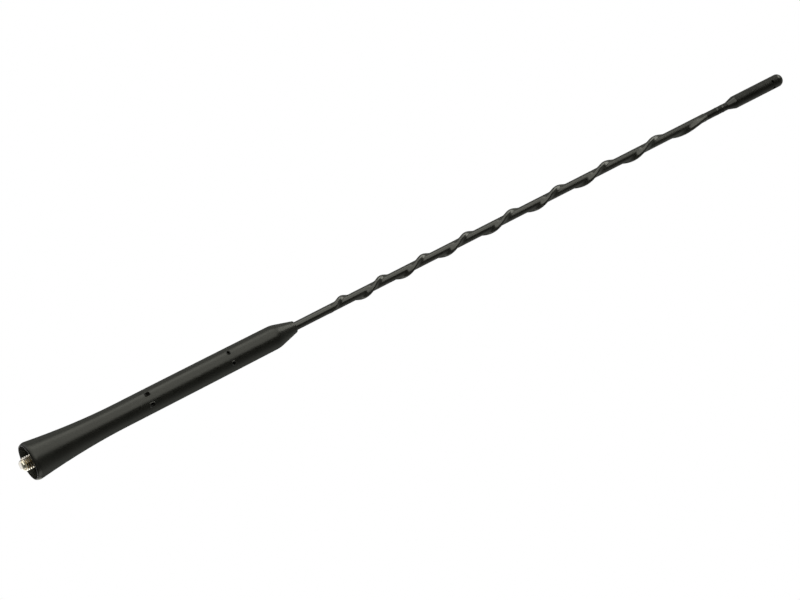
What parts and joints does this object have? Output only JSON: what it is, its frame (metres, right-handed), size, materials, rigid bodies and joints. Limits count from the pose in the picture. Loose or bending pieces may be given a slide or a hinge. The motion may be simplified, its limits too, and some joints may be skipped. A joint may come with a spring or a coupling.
{
  "type": "car mast aerial",
  "caption": "Screw-on mast aerial for a car roof: flared grip, thin springy whip with a helical strake, fatter rounded tip and a short threaded stud at the foot.",
  "frame": {"origin": "on the stud's axis, in the plane of the rim that seats on the roof base", "axes": "+Z along the mast towards its tip, the stud points along -Z, and the grip's pin openings face -Y and +Y"},
  "size_m": [0.0172, 0.0172, 0.4089],
  "materials": {
    "grip_plastic": "moulded, fine satin texture",
    "plated_metal": "bright nickel plate over brass",
    "glass_fibre": "drawn glass fibre in resin",
    "copper_wire": "enamelled copper",
    "sheath_plastic": "extruded, satin",
    "tip_plastic": "moulded, satin"
  },
  "bodies": {
    "root": {"handle": "grip_plastic", "threaded_ferrule": "plated_metal", "core_rod": "glass_fibre", "radiator_wire": "copper_wire", "mast_sheath": "sheath_plastic", "tip_cap": "tip_plastic"}
  },
  "joints": []
}
